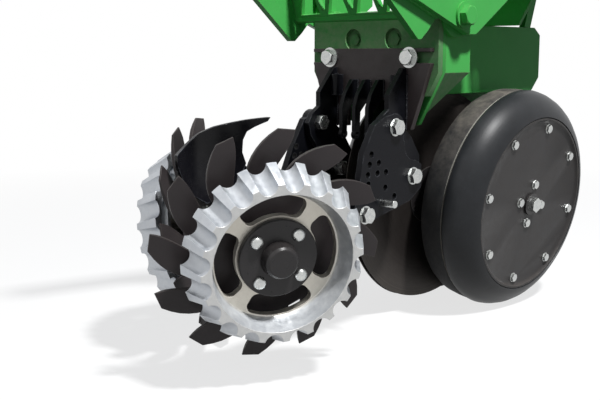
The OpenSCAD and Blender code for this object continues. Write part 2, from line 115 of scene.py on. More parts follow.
# White paper, far wider than the view. It glows where it is looked at, more so far out, so that it
# has no far edge, and gives only a dull grey light back to the object.
floor_z = -0.700
floor_reach = 14.0
glow_near, glow_far = 1.1, 2.6
floor_mesh = bpy.data.meshes.new("floor")
corners = [(x * floor_reach, y * floor_reach, floor_z) for x, y in ((-1, -1), (1, -1), (1, 1), (-1, 1))]
floor_mesh.from_pydata(corners, [], [(0, 1, 2, 3)])
floor = bpy.data.objects.new("floor", floor_mesh)
scene.collection.objects.link(floor)
paper, sheet = blank("white_paper_floor")
looked_at = seen_directly(sheet)
paper_tone = add(sheet, "ShaderNodeMix", {"data_type": "RGBA"},
                 {0: looked_at, 6: hexa("#4e4d4a"), 7: hexa("#f4f4f4")})
matt = add(sheet, "ShaderNodeBsdfDiffuse", None, {"Color": paper_tone.outputs[2]})
glow = add(sheet, "ShaderNodeEmission", None, {"Color": (1, 1, 1, 1), "Strength": 1.0})
far_out = add(sheet, "ShaderNodeVectorMath", {"operation": "LENGTH"},
              {0: add(sheet, "ShaderNodeTexCoord").outputs["Object"]})
glow_share = add(sheet, "ShaderNodeMapRange", None,
                 {"Value": far_out.outputs["Value"], "From Min": glow_near, "From Max": glow_far,
                  "To Min": 0.74, "To Max": 1.0})
pale = add(sheet, "ShaderNodeMath", {"operation": "MULTIPLY"}, {0: looked_at, 1: glow_share.outputs[0]})
sheet_mix = add(sheet, "ShaderNodeMixShader", None,
                {0: pale.outputs[0], 1: matt.outputs[0], 2: glow.outputs[0]})
add(sheet, "ShaderNodeOutputMaterial", None, {"Surface": sheet_mix.outputs[0]})
floor_mesh.materials.append(paper)

lamp_aim = Vector((0.05, -0.1, -0.45))
lamp_distance = 5.0
for lamp_name, towards, watts, size in (("key_lamp", (0.50, -0.05, 0.86), 355, 0.45),
                                        ("fill_lamp", (0.10, -0.90, 0.42), 16, 3.0)):
    lamp = bpy.data.lights.new(lamp_name, "AREA")
    lamp.energy = watts
    lamp.size = size
    stand = bpy.data.objects.new(lamp_name, lamp)
    stand.location = lamp_aim + Vector(towards).normalized() * lamp_distance
    stand.rotation_euler = Vector(towards).to_track_quat("Z", "Y").to_euler()
    scene.collection.objects.link(stand)

# The lens, place and angles that set the wheels and bolts where the photograph has them.
camera = bpy.data.objects.new("camera", bpy.data.cameras.new("camera"))
camera_round, camera_down = 44.91, 8.69
camera.data.lens = 56.86
camera.data.sensor_width = 36.0
camera.location = (1.06405, -1.28255, -0.23334)
camera.rotation_euler = (math.radians(90 - camera_down), 0.0, math.radians(camera_round))
scene.collection.objects.link(camera)
scene.camera = camera

# Row unit head
# Steel face plate and bulkhead, side plates with their link ears and two slanted lower walls, welded
# into one box and sprayed with one coat of green enamel after welding.


def per_mm(size):
    """Texture scale for a pattern whose features are that many millimetres wide."""
    return 1000.0 / size


def enamel(name, low, high, rough, gleam, dust, dust_share, worn, worn_share, peel=0.25, film=0.2):
    """Sprayed paint on steel. Its shade drifts over a panel, it has orange peel, dust lies on what
    faces up and as a film on the rest, and edges are rubbed through where they get knocked."""
    made, tree = blank(name)
    place = add(tree, "ShaderNodeTexCoord").outputs["Object"]
    drift = add(tree, "ShaderNodeTexNoise", None,
                {"Vector": place, "Scale": per_mm(90), "Detail": 5.0, "Roughness": 0.6})
    shade = add(tree, "ShaderNodeMix", {"data_type": "RGBA"},
                {0: drift.outputs[0], 6: hexa(low), 7: hexa(high)})
    facing = add(tree, "ShaderNodeNewGeometry").outputs["Normal"]
    height = add(tree, "ShaderNodeSeparateXYZ", None, {0: facing}).outputs[2]
    up = add(tree, "ShaderNodeMapRange", None,
             {"Value": height, "From Min": 0.1, "From Max": 1.0, "To Min": film, "To Max": 1.0})
    grit = add(tree, "ShaderNodeTexNoise", None,
               {"Vector": place, "Scale": per_mm(14), "Detail": 8.0, "Roughness": 0.72})
    spots = add(tree, "ShaderNodeMapRange", None,
                {"Value": grit.outputs[0], "From Min": 0.32, "From Max": 0.80,
                 "To Min": 0.0, "To Max": dust_share})
    lying = add(tree, "ShaderNodeMath", {"operation": "MULTIPLY"}, {0: spots.outputs[0], 1: up.outputs[0]})
    dusty = add(tree, "ShaderNodeMix", {"data_type": "RGBA"},
                {0: lying.outputs[0], 6: shade.outputs[2], 7: hexa(dust)})
    rounded = add(tree, "ShaderNodeBevel", {"samples": 4}, {"Radius": 0.003})
    turned = add(tree, "ShaderNodeVectorMath", {"operation": "DOT_PRODUCT"},
                 {0: rounded.outputs[0], 1: facing})
    edge = add(tree, "ShaderNodeMapRange", None,
               {"Value": turned.outputs["Value"], "From Min": 0.97, "From Max": 0.84,
                "To Min": 0.0, "To Max": worn_share})
    knocks = add(tree, "ShaderNodeTexNoise", None,
                 {"Vector": place, "Scale": per_mm(22), "Detail": 6.0, "Roughness": 0.7})
    patchy = add(tree, "ShaderNodeMapRange", None,
                 {"Value": knocks.outputs[0], "From Min": 0.44, "From Max": 0.60,
                  "To Min": 0.1, "To Max": 1.0})
    rubbed = add(tree, "ShaderNodeMath", {"operation": "MULTIPLY"},
                 {0: edge.outputs[0], 1: patchy.outputs[0]})
    colour = add(tree, "ShaderNodeMix", {"data_type": "RGBA"},
                 {0: rubbed.outputs[0], 6: dusty.outputs[2], 7: hexa(worn)})
    duller = add(tree, "ShaderNodeMapRange", None,
                 {"Value": grit.outputs[0], "From Min": 0.3, "From Max": 0.7,
                  "To Min": rough - 0.06, "To Max": rough + 0.10})
    skin = add(tree, "ShaderNodeTexNoise", None, {"Vector": place, "Scale": per_mm(2.2), "Detail": 2.0})
    bump = add(tree, "ShaderNodeBump", None,
               {"Strength": peel, "Distance": 0.0003, "Height": skin.outputs[0]})
    coat = add(tree, "ShaderNodeBsdfPrincipled", None,
               {"Base Color": colour.outputs[2], "Roughness": duller.outputs[0],
                "Normal": bump.outputs[0], "Specular IOR Level": gleam})
    add(tree, "ShaderNodeOutputMaterial", None, {"Surface": coat.outputs[0]})
    return made


def finished(name, finish, edge_mm, steps=2):
    """The solid with its edges broken as paint and handling leave them, in place of the plain node."""
    shape = bmesh.new()
    shape.from_mesh(frame["nodes"][name].data)
    # The triangles of a plane become one face, so that only real edges are broken.
    bmesh.ops.remove_doubles(shape, verts=shape.verts, dist=3e-6)
    bmesh.ops.dissolve_limit(shape, angle_limit=math.radians(0.5), verts=shape.verts, edges=shape.edges)
    form = bpy.data.meshes.new(name + "_finished")
    shape.to_mesh(form)
    shape.free()
    for layer in ("custom_normal", "sharp_face"):
        if layer in form.attributes:
            form.attributes.remove(form.attributes[layer])
    form.shade_smooth()
    form.set_sharp_from_angle(angle=math.radians(30))
    form.materials.clear()
    form.materials.append(finish)
    piece = bpy.data.objects.new(name + "_finished", form)
    scene.collection.objects.link(piece)
    if edge_mm:
        edge = piece.modifiers.new("broken_edge", "BEVEL")
        edge.width = edge_mm / 1000
        edge.segments = steps
        edge.limit_method = "ANGLE"
        edge.angle_limit = math.radians(32)
        edge.harden_normals = True
    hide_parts(name)
    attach(piece, frame["nodes"][name]["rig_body"])
    return piece


# Gloss farm enamel, air dried: deep even green, softly clouded, with field dust on top and brown
# primer at the knocked edges.
green = enamel("green_enamel_gloss", low="#43a84e", high="#4fba5b", rough=0.32, gleam=0.07,
               dust="#8a9478", dust_share=0.38, worn="#6f5b45", worn_share=0.55)
# The same enamel under a film of dried soil, where the row cleaner throws it: duller and greyer.
soiled_green = enamel("green_enamel_soiled", low="#4d9153", high="#5b9c5f", rough=0.45, gleam=0.12,
                      dust="#a1a08f", dust_share=0.8, worn="#6f5b45", worn_share=0.4, film=0.7)
for plate in ("bulkhead", "left_side_plate", "right_side_plate"):
    finished(plate, green, edge_mm=0.4)
for plate in ("face_plate", "left_slant_wall", "right_slant_wall"):
    finished(plate, soiled_green, edge_mm=0.4)
finished("face_bolts", soiled_green, edge_mm=0.8)

# Middle beam, shank leg and hopper deck
# Folded steel channel behind the head, the forged leg welded under it that runs between the discs,
# and the flat sheet deck on a cross plate and two straps. The same green enamel.
for member in ("mid_beam", "shank_leg"):
    finished(member, green, edge_mm=1.0)
finished("hopper_deck", green, edge_mm=0.6)

# Lower link arms
# Two thick flame cut plates that swing on bolts through the head, tied by one green casting with a
# ribbed web. The casting's cheeks are welded to the arms along their lower edges.
for arm in ("left_link_arm", "right_link_arm"):
    finished(arm, green, edge_mm=1.2)
finished("link_web", green, edge_mm=1.6)


def weld_tree():
    """A weld bead: overlapping drops of metal along a path, each a little different in size."""
    tree = bpy.data.node_groups.new("weld_bead", "GeometryNodeTree")
    for label, kind in (("Path", "Geometry"), ("Width", "Float"), ("Pitch", "Float"), ("Seed", "Int"),
                        ("Finish", "Material")):
        tree.interface.new_socket(label, in_out="INPUT", socket_type="NodeSocket" + kind)
    tree.interface.new_socket("Bead", in_out="OUTPUT", socket_type="NodeSocketGeometry")
    given = add(tree, "NodeGroupInput").outputs
    line = add(tree, "GeometryNodeMeshToCurve", None, {"Mesh": given["Path"]})
    spots = add(tree, "GeometryNodeCurveToPoints", {"mode": "LENGTH"},
                {"Curve": line.outputs[0], "Length": given["Pitch"]})
    half = add(tree, "ShaderNodeMath", {"operation": "MULTIPLY"}, {0: given["Width"], 1: 0.5})
    drop = add(tree, "GeometryNodeMeshIcoSphere", None, {"Radius": half.outputs[0], "Subdivisions": 2})
    size = add(tree, "FunctionNodeRandomValue", {"data_type": "FLOAT_VECTOR"},
               {"Min": (0.82, 0.82, 0.82), "Max": (1.12, 1.12, 1.12), "Seed": given["Seed"]})
    laid = add(tree, "GeometryNodeInstanceOnPoints", None,
               {"Points": spots.outputs["Points"], "Instance": drop.outputs[0],
                "Rotation": spots.outputs["Rotation"], "Scale": size.outputs[0]})
    solid = add(tree, "GeometryNodeRealizeInstances", None, {"Geometry": laid.outputs[0]})
    smooth = add(tree, "GeometryNodeSetShadeSmooth", None, {"Geometry": solid.outputs[0]})
    faced = add(tree, "GeometryNodeSetMaterial", None,
                {"Geometry": smooth.outputs[0], "Material": given["Finish"]})
    add(tree, "NodeGroupOutput", None, {0: faced.outputs[0]})
    return tree


def grown(name, start, tree, **inputs):
    """The plain mesh that a tree makes from a start mesh, its inputs set by their names."""
    seed = bpy.data.objects.new(name + "_start", start)
    scene.collection.objects.link(seed)
    rule = seed.modifiers.new("rule", "NODES")
    rule.node_group = tree
    ids = {s.name: s.identifier for s in tree.interface.items_tree if s.in_out == "INPUT"}
    for label, value in inputs.items():
        rule[ids[label.replace("_", " ").title()]] = value
    view = bpy.context.evaluated_depsgraph_get()
    made = bpy.data.meshes.new_from_object(seed.evaluated_get(view))
    made.name = name
    seed.modifiers.clear()
    bpy.data.objects.remove(seed)
    return made


weld_bead = weld_tree()


def welded(name, paths, width, body, finish):
    """Weld beads along paths given in row millimetres, riding on a body."""
    points, edges = [], []
    for path in paths:
        first = len(points)
        points += [Vector(p) / 1000 for p in path]
        edges += [(first + i, first + i + 1) for i in range(len(path) - 1)]
    start = bpy.data.meshes.new(name + "_path")
    start.from_pydata(points, edges, [])
    # Each drop overlaps more than half of the one before it.
    bead = grown(name, start, weld_bead, width=width / 1000, pitch=width * 0.42 / 1000, seed=7,
                 finish=finish)
    piece = bpy.data.objects.new(name, bead)
    scene.collection.objects.link(piece)
    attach(piece, body)


# The arm's lower edge falls to the rear. The beads lie on it along the casting's cheeks.
cheek_x = 145
cheek_front, cheek_rear = -190, -58
edge_end_y, edge_end_z = 16, -201
edge_fall = 0.367
cheek_line = [(cheek_x, y, edge_end_z + (edge_end_y - y) * edge_fall) for y in (cheek_front, cheek_rear)]
welded("cheek_welds", [cheek_line, [(-x, y, z) for x, y, z in cheek_line]], 7, "lower_arms", green)

# Link pivot bolts
# Large steel hex bolts with plain washers that carry the lower arms. Each goes through an arm and the
# head's side plate into a nut inside, and is painted over with the frame.


def bolt_tree():
    """Bolts on seat points: a chamfered hex or a domed head on its washer, the shank, the nut behind."""
    tree = bpy.data.node_groups.new("hex_bolts", "GeometryNodeTree")
    for label, kind in (("Seats", "Geometry"), ("Flats", "Float"), ("Head", "Float"),
                        ("Washer Radius", "Float"), ("Washer", "Float"), ("Shank Radius", "Float"),
                        ("Grip", "Float"), ("Nut", "Float"), ("Tail", "Float"), ("Domed", "Bool"),
                        ("Finish", "Material")):
        tree.interface.new_socket(label, in_out="INPUT", socket_type="NodeSocket" + kind)
    tree.interface.new_socket("Bolts", in_out="OUTPUT", socket_type="NodeSocketGeometry")
    given = add(tree, "NodeGroupInput").outputs

    # The other sizes follow from the given ones. The chamfer's cone stands at 30 degrees to the face
    # and runs past the head at both ends, so that no faces coincide.
    size = {socket.name: socket for socket in given if socket.name}
    for label, operation, one, other in (("corner radius", "MULTIPLY", "Flats", 0.57735),
                                         ("head middle", "MULTIPLY", "Head", 0.5),
                                         ("face radius", "MULTIPLY", "Flats", 0.475),
                                         ("narrowing", "MULTIPLY", "Head", 0.866),
                                         ("widening", "MULTIPLY", "Head", 2.165),
                                         ("cone top", "SUBTRACT", "face radius", "narrowing"),
                                         ("cone foot", "ADD", "face radius", "widening"),
                                         ("cone height", "MULTIPLY", "Head", 1.75),
                                         ("cone start", "MULTIPLY", "Head", -0.25),
                                         ("dome share", "DIVIDE", "Head", "Washer Radius"),
                                         ("washer middle", "MULTIPLY", "Washer", 0.5),
                                         ("nut and tail", "ADD", "Nut", "Tail"),
                                         ("length", "ADD", "Grip", "nut and tail"),
                                         ("shank length", "ADD", "length", "Washer"),
                                         ("both ends", "SUBTRACT", "Washer", "length"),
                                         ("shank middle", "MULTIPLY", "both ends", 0.5),
                                         ("nut start", "MULTIPLY", "Grip", -1.0),
                                         ("nut share", "DIVIDE", "Nut", "Head")):
        size[label] = add(tree, "ShaderNodeMath", {"operation": operation},
                          {0: size.get(one, one), 1: size.get(other, other)}).outputs[0]

    def lifted(mesh, height, turn=(0, 0, 0), scale=(1, 1, 1)):
        """The mesh of a node, moved along the bolt's axis."""
        lift = add(tree, "ShaderNodeCombineXYZ", None, {2: height})
        return add(tree, "GeometryNodeTransform", None,
                   {"Geometry": mesh.outputs[0], "Translation": lift.outputs[0], "Rotation": turn,
                    "Scale": scale}).outputs[0]

    hexagon = add(tree, "GeometryNodeMeshCylinder", None,
                  {"Vertices": 6, "Radius": size["corner radius"], "Depth": given["Head"]})
    chamfer = add(tree, "GeometryNodeMeshCone", None,
                  {"Vertices": 48, "Depth": size["cone height"], "Radius Top": size["cone top"],
                   "Radius Bottom": size["cone foot"]})
    head = add(tree, "GeometryNodeMeshBoolean", {"operation": "INTERSECT", "solver": "EXACT"},
               {"Mesh 2": [lifted(hexagon, size["head middle"]), lifted(chamfer, size["cone start"])]})
    ball = add(tree, "GeometryNodeMeshUVSphere", None,
               {"Segments": 40, "Rings": 24, "Radius": given["Washer Radius"]})
    flat = add(tree, "ShaderNodeCombineXYZ", None, {0: 1.0, 1: 1.0, 2: size["dome share"]})
    face = add(tree, "GeometryNodeSwitch", {"input_type": "GEOMETRY"},
               {"Switch": given["Domed"], "False": head.outputs[0],
                "True": lifted(ball, 0.0, scale=flat.outputs[0])})
    washer = add(tree, "GeometryNodeMeshCylinder", None,
                 {"Vertices": 48, "Radius": given["Washer Radius"], "Depth": given["Washer"]})
    shank = add(tree, "GeometryNodeMeshCylinder", None,
                {"Vertices": 32, "Radius": given["Shank Radius"], "Depth": size["shank length"]})
    thick = add(tree, "ShaderNodeCombineXYZ", None, {0: 1.0, 1: 1.0, 2: size["nut share"]})
    whole = add(tree, "GeometryNodeJoinGeometry", None, {"Geometry": [
        lifted(face, given["Washer"]),
        lifted(washer, size["washer middle"]),
        lifted(shank, size["shank middle"]),
        lifted(head, size["nut start"], (math.pi, 0, 0.3), thick.outputs[0])]})
    axis = add(tree, "GeometryNodeInputNamedAttribute", {"data_type": "FLOAT_VECTOR"}, {"Name": "axis"})
    turn = add(tree, "GeometryNodeInputNamedAttribute", {"data_type": "FLOAT"}, {"Name": "turn"})
    upright = add(tree, "FunctionNodeAlignRotationToVector", {"axis": "Z"}, {"Vector": axis.outputs[0]})
    twist = add(tree, "FunctionNodeAxisAngleToRotation", None,
                {"Axis": (0, 0, 1), "Angle": turn.outputs[0]})
    pose = add(tree, "FunctionNodeRotateRotation", {"rotation_space": "LOCAL"},
               {"Rotation": upright.outputs[0], "Rotate By": twist.outputs[0]})
    laid = add(tree, "GeometryNodeInstanceOnPoints", None,
               {"Points": given["Seats"], "Instance": whole.outputs[0], "Rotation": pose.outputs[0]})
    solid = add(tree, "GeometryNodeRealizeInstances", None, {"Geometry": laid.outputs[0]})
    faced = add(tree, "GeometryNodeSetMaterial", None,
                {"Geometry": solid.outputs[0], "Material": given["Finish"]})
    add(tree, "NodeGroupOutput", None, {0: faced.outputs[0]})
    return tree


hex_bolts = bolt_tree()


def bolted(node, groups, finish, domed=False):
    """Real bolts in place of a node's plain ones. A group is its seats, as point and axis in row
    millimetres, and its sizes in millimetres by the names of the tree's inputs."""
    whole = bmesh.new()
    for seats, sizes in groups:
        start = bpy.data.meshes.new(node + "_seats")
        start.from_pydata([Vector(point) / 1000 for point, axis in seats], [], [])
        for label, kind in (("axis", "FLOAT_VECTOR"), ("turn", "FLOAT")):
            start.attributes.new(label, kind, "POINT")
        # Each head stops at another angle, as the spanner leaves it.
        for i, (point, axis) in enumerate(seats):
            start.attributes["axis"].data[i].vector = axis
            start.attributes["turn"].data[i].value = 0.35 + 0.9 * i
        metres = {label: size / 1000 for label, size in sizes.items()}
        whole.from_mesh(grown(node + "_turned", start, hex_bolts, finish=finish, domed=domed, **metres))
    form = bpy.data.meshes.new(node + "_turned")
    whole.to_mesh(form)
    whole.free()
    form.materials.append(finish)
    form.shade_smooth()
    form.set_sharp_from_angle(angle=math.radians(28))
    piece = bpy.data.objects.new(node + "_turned", form)
    scene.collection.objects.link(piece)
    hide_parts(node)
    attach(piece, frame["nodes"][node]["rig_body"])


def row_joint(name):
    """The record of one joint."""
    return next(joint for joint in frame["joints"] if joint["name"] == name)


def sides(x, y, z):
    """Seats on the left and the right of the unit, facing outwards."""
    return [((x, y, z), (1, 0, 0)), ((-x, y, z), (-1, 0, 0))]


link_seat = 157.4
link_pivot = [c * 1000 for c in row_joint("lower_arms_swing")["pos_m"]]
link_bolt = dict(flats=29, head=12.5, washer_radius=22, washer=3.4, shank_radius=12, grip=28, nut=11.5,
                 tail=0.1)
bolted("link_bolts", [(sides(link_seat, *link_pivot[1:]), link_bolt)], green)

# Seed tube
# A moulded black plastic tube behind the leg that drops the seed between the discs. Plain ABS, with
# a faint flow grain and a dull sheen.
black_plastic = enamel("moulded_black_abs", low="#141415", high="#1b1b1c", rough=0.5, gleam=0.4,
                       dust="#5b564c", dust_share=0.2, worn="#3a3a3a", worn_share=0.2)
finished("seed_tube", black_plastic, edge_mm=0.5)

# Opener discs
# Two rolled boron steel discs on sealed hubs, toed together in front so that they open a furrow.
# The soil scours them, so they show dark steel with fine rings around the hub.


def around(tree, joint, mirrored=False):
    """Distance from a joint's axis, and distance out along it, in metres."""
    place = add(tree, "ShaderNodeTexCoord").outputs["Object"]
    if mirrored:
        apart = add(tree, "ShaderNodeSeparateXYZ", None, {0: place})
        across = add(tree, "ShaderNodeMath", {"operation": "ABSOLUTE"}, {0: apart.outputs[0]})
        place = add(tree, "ShaderNodeCombineXYZ", None,
                    {0: across.outputs[0], 1: apart.outputs[1], 2: apart.outputs[2]}).outputs[0]
    axle = tuple(joint["axis"])
    offset = add(tree, "ShaderNodeVectorMath", {"operation": "SUBTRACT"},
                 {0: place, 1: tuple(joint["pos_m"])})
    out = add(tree, "ShaderNodeVectorMath", {"operation": "DOT_PRODUCT"}, {0: offset.outputs[0], 1: axle})
    sideways = add(tree, "ShaderNodeVectorMath", {"operation": "CROSS_PRODUCT"},
                   {0: offset.outputs[0], 1: axle})
    radius = add(tree, "ShaderNodeVectorMath", {"operation": "LENGTH"}, {0: sideways.outputs[0]})
    return radius.outputs["Value"], out.outputs["Value"]


def scoured_steel():
    """Soil scoured steel: dark brown grey oxide, rubbed brighter in thin rings towards the edge."""
    made, tree = blank("soil_scoured_steel")
    radius = around(tree, row_joint("left_disc_spin"), mirrored=True)[0]
    place = add(tree, "ShaderNodeTexCoord").outputs["Object"]
    rings = add(tree, "ShaderNodeTexNoise", {"noise_dimensions": "1D"},
                {"W": radius, "Scale": per_mm(2.5), "Detail": 3.0, "Roughness": 0.6})
    stain = add(tree, "ShaderNodeTexNoise", None,
                {"Vector": place, "Scale": per_mm(40), "Detail": 6.0, "Roughness": 0.65})
    oxide = add(tree, "ShaderNodeMix", {"data_type": "RGBA"},
                {0: stain.outputs[0], 6: hexa("#242120"), 7: hexa("#393432")})
    outer = add(tree, "ShaderNodeMapRange", None,
                {"Value": radius, "From Min": 0.120, "From Max": 0.188, "To Min": 0.1, "To Max": 0.8})
    bright = add(tree, "ShaderNodeMath", {"operation": "MULTIPLY"},
                 {0: outer.outputs[0], 1: rings.outputs[0]})
    tone = add(tree, "ShaderNodeMix", {"data_type": "RGBA"},
               {0: bright.outputs[0], 6: oxide.outputs[2], 7: hexa("#5b5651")})
    sheen = add(tree, "ShaderNodeMapRange", None,
                {"Value": rings.outputs[0], "From Min": 0.3, "From Max": 0.7,
                 "To Min": 0.34, "To Max": 0.52})
    score = add(tree, "ShaderNodeBump", None,
                {"Strength": 0.3, "Distance": 0.0003, "Height": rings.outputs[0]})
    steel = add(tree, "ShaderNodeBsdfPrincipled", None,
                {"Base Color": tone.outputs[2], "Roughness": sheen.outputs[0], "Normal": score.outputs[0],
                 "Metallic": 0.45, "Specular IOR Level": 0.3})
    add(tree, "ShaderNodeOutputMaterial", None, {"Surface": steel.outputs[0]})
    return made


scoured = scoured_steel()
# Satin black paint on turned hubs: almost even, dusty, a little brown.
hub_black = enamel("satin_black_hub_paint", low="#211f20", high="#2a2829", rough=0.30, gleam=0.34,
                   dust="#5b544c", dust_share=0.2, worn="#6a6661", worn_share=0.4)
finished("disc_spindles", scoured, edge_mm=0.5)
for side in ("left", "right"):
    finished(side + "_opener_disc", scoured, edge_mm=0.0)
    finished(side + "_disc_hub", hub_black, edge_mm=0.6)

# Gauge arms
# Cranked bars that carry the gauge wheels. They swing on a shaft through the rear of the leg and are
# held by a nut at each of its ends. Green enamel on the arms, scoured steel on the shaft and nuts.
finished("gauge_shaft", scoured, edge_mm=0.5)
for side in ("left", "right"):
    finished(side + "_gauge_arm", green, edge_mm=1.2)

# Gauge wheels
# A hollow rubber tyre with a mould seam round its crown, held between two pressed steel rim halves
# that are bolted together, on a cast hub. The bolts are zinc plated.


def tyre_rubber():
    """Moulded rubber: nearly black, semi gloss on the flank, grey brown with soil on the tread, with more
    of it towards the top, which also paints a highlight on the crown, and a pale thread of flash along
    the mould seam."""
    made, tree = blank("moulded_tyre_rubber")
    seam_place = -0.0030
    radius, out = around(tree, row_joint("left_gauge_spin"), mirrored=True)
    place = add(tree, "ShaderNodeTexCoord").outputs["Object"]
    cloud = add(tree, "ShaderNodeTexNoise", None,
                {"Vector": place, "Scale": per_mm(30), "Detail": 7.0, "Roughness": 0.7})
    flank = add(tree, "ShaderNodeMix", {"data_type": "RGBA"},
                {0: cloud.outputs[0], 6: hexa("#17181a"), 7: hexa("#2d2f32")})
    tread = add(tree, "ShaderNodeMapRange", None,
                {"Value": out, "From Min": 0.002, "From Max": -0.006, "To Min": 0.0, "To Max": 1.0})
    soil = add(tree, "ShaderNodeMapRange", None,
               {"Value": cloud.outputs[0], "From Min": 0.35, "From Max": 0.75,
                "To Min": 0.05, "To Max": 0.5})
    facing = add(tree, "ShaderNodeNewGeometry").outputs["Normal"]
    height = add(tree, "ShaderNodeSeparateXYZ", None, {0: facing}).outputs[2]
    # The more the tread faces up, the more soil it gets, so it is lighter on top: part soil, part a
    # painted highlight on the crown.
    top_soil_and_highlight = add(tree, "ShaderNodeMapRange", None,
                {"Value": height, "From Min": 0.2, "From Max": 0.9, "To Min": 0.35, "To Max": 2.2})
    settled_soil_and_highlight = add(tree, "ShaderNodeMath", {"operation": "MULTIPLY"},
                  {0: soil.outputs[0], 1: top_soil_and_highlight.outputs[0]})
    lying = add(tree, "ShaderNodeMath", {"operation": "MULTIPLY"},
                {0: tread.outputs[0], 1: settled_soil_and_highlight.outputs[0]})
    dusty = add(tree, "ShaderNodeMix", {"data_type": "RGBA"},
                {0: lying.outputs[0], 6: flank.outputs[2], 7: hexa("#716b64")})
    from_seam = add(tree, "ShaderNodeMath", {"operation": "SUBTRACT"}, {0: out, 1: seam_place})
    seam_off = add(tree, "ShaderNodeMath", {"operation": "ABSOLUTE"}, {0: from_seam.outputs[0]})
    seam = add(tree, "ShaderNodeMapRange", None,
               {"Value": seam_off.outputs[0], "From Min": 0.0012, "From Max": 0.0026,
                "To Min": 0.75, "To Max": 0.0})
    crown = add(tree, "ShaderNodeMapRange", None,
                {"Value": radius, "From Min": 0.196, "From Max": 0.199, "To Min": 0.0, "To Max": 1.0})
    flash = add(tree, "ShaderNodeMath", {"operation": "MULTIPLY"},
                {0: seam.outputs[0], 1: crown.outputs[0]})
    tone = add(tree, "ShaderNodeMix", {"data_type": "RGBA"},
               {0: flash.outputs[0], 6: dusty.outputs[2], 7: hexa("#a8a59c")})
    shine = add(tree, "ShaderNodeMix", {"data_type": "FLOAT"}, {0: tread.outputs[0], 2: 0.40, 3: 0.72})
    moulding = add(tree, "ShaderNodeTexNoise", {"noise_dimensions": "1D"},
                   {"W": radius, "Scale": per_mm(3), "Detail": 2.0})
    pores = add(tree, "ShaderNodeTexNoise", None, {"Vector": place, "Scale": per_mm(1.6), "Detail": 3.0})
    skin = add(tree, "ShaderNodeMath", {"operation": "ADD"}, {0: moulding.outputs[0], 1: pores.outputs[0]})
    bump = add(tree, "ShaderNodeBump", None,
               {"Strength": 0.25, "Distance": 0.0003, "Height": skin.outputs[0]})
    hide = add(tree, "ShaderNodeBsdfPrincipled", None,
               {"Base Color": tone.outputs[2], "Roughness": shine.outputs[0], "Normal": bump.outputs[0],
                "Specular IOR Level": 0.24})
    add(tree, "ShaderNodeOutputMaterial", None, {"Surface": hide.outputs[0]})
    return made


def zinc_plate():
    """Bright zinc plate: mottled silver with a faint yellow and blue cast."""
    made, tree = blank("bright_zinc_plate")
    place = add(tree, "ShaderNodeTexCoord").outputs["Object"]
    mottle = add(tree, "ShaderNodeTexNoise", None,
                 {"Vector": place, "Scale": per_mm(5), "Detail": 5.0, "Roughness": 0.65})
    tone = add(tree, "ShaderNodeMix", {"data_type": "RGBA"},
               {0: mottle.outputs[0], 6: hexa("#969ba0"), 7: hexa("#dcdcd6")})
    rough = add(tree, "ShaderNodeMapRange", None,
                {"Value": mottle.outputs[0], "From Min": 0.3, "From Max": 0.7,
                 "To Min": 0.2, "To Max": 0.4})
    grain = add(tree, "ShaderNodeTexNoise", None, {"Vector": place, "Scale": per_mm(0.9), "Detail": 2.0})
    bump = add(tree, "ShaderNodeBump", None,
               {"Strength": 0.15, "Distance": 0.0002, "Height": grain.outputs[0]})
    metal = add(tree, "ShaderNodeBsdfPrincipled", None,
                {"Base Color": tone.outputs[2], "Roughness": rough.outputs[0], "Normal": bump.outputs[0],
                 "Metallic": 1.0})
    add(tree, "ShaderNodeOutputMaterial", None, {"Surface": metal.outputs[0]})
    return made


def on_wheel(joint, angle, radius, out):
    """A seat on a wheel: its angle from straight down, radius and distance out along the axle."""
    axle = Vector(joint["axis"])
    hand = 1 if axle.x > 0 else -1
    back = Vector((-hand * axle.y, abs(axle.x), 0)).normalized()
    down = back.cross(axle) * hand
    point = (Vector(joint["pos_m"]) * 1000 + axle * out
             + (down * math.cos(math.radians(angle)) + back * math.sin(math.radians(angle))) * radius)
    return point, axle


rubber = tyre_rubber()
# Thin dull paint on pressed steel: brown grey, blotched with dried soil.
rim = enamel("thin_rim_paint", low="#212124", high="#363433", rough=0.44, gleam=0.26,
             dust="#6b6259", dust_share=0.5, worn="#8a857f", worn_share=0.5)
zinc = zinc_plate()
rim_seat = 46
rim_circle, rim_start = 140, 35
hub_circle, hub_start = 36, -9
axle_head_reach = 0.0144
rim_bolt = dict(flats=13.8, head=4.6, washer_radius=8.6, washer=0.8, shank_radius=4.8)
for side in ("left", "right"):
    finished(side + "_tyre", rubber, edge_mm=0.0)
    finished(side + "_rim_outer", rim, edge_mm=0.5)
    finished(side + "_rim_inner", rim, edge_mm=0.5)
    finished(side + "_gauge_hub", hub_black, edge_mm=0.6)
    axle = row_joint(side + "_gauge_spin")
    bolt = finished(side + "_gauge_axle", zinc, edge_mm=0.6)
    # The washer under the axle bolt's head is painted black, from the head's corners out.
    bolt.data.materials.append(hub_black)
    for face in bolt.data.polygons:
        spokes = [(bolt.data.vertices[i].co - Vector(axle["pos_m"])).cross(Vector(axle["axis"])).length
                  for i in face.vertices]
        face.material_index = int(sum(spokes) / len(spokes) > axle_head_reach)
    bolted(side + "_rim_bolts",
           [([on_wheel(axle, rim_start + 45 * i, rim_circle, rim_seat) for i in range(8)],
             dict(rim_bolt, grip=8, nut=5, tail=0.2)),
            ([on_wheel(axle, hub_start + 90 * i, hub_circle, rim_seat) for i in range(4)],
             dict(rim_bolt, grip=12, nut=6, tail=1.5))],
           zinc)

# Row cleaner bracket
# A black steel plate bolted to the head's face through open side slots, with two outer lugs for the
# floating arms and three thin ones in the middle, all fillet welded to it.

# Powder coat over rough plate: matt, brown black, dust in its texture.
bracket_black = enamel("matt_black_powder_coat", low="#2b2425", high="#352d2e", rough=0.5, gleam=0.36,
                       dust="#4f453f", dust_share=0.3, worn="#5d5650", worn_share=0.35, peel=0.5)
finished("bracket_plate", bracket_black, edge_mm=0.8)
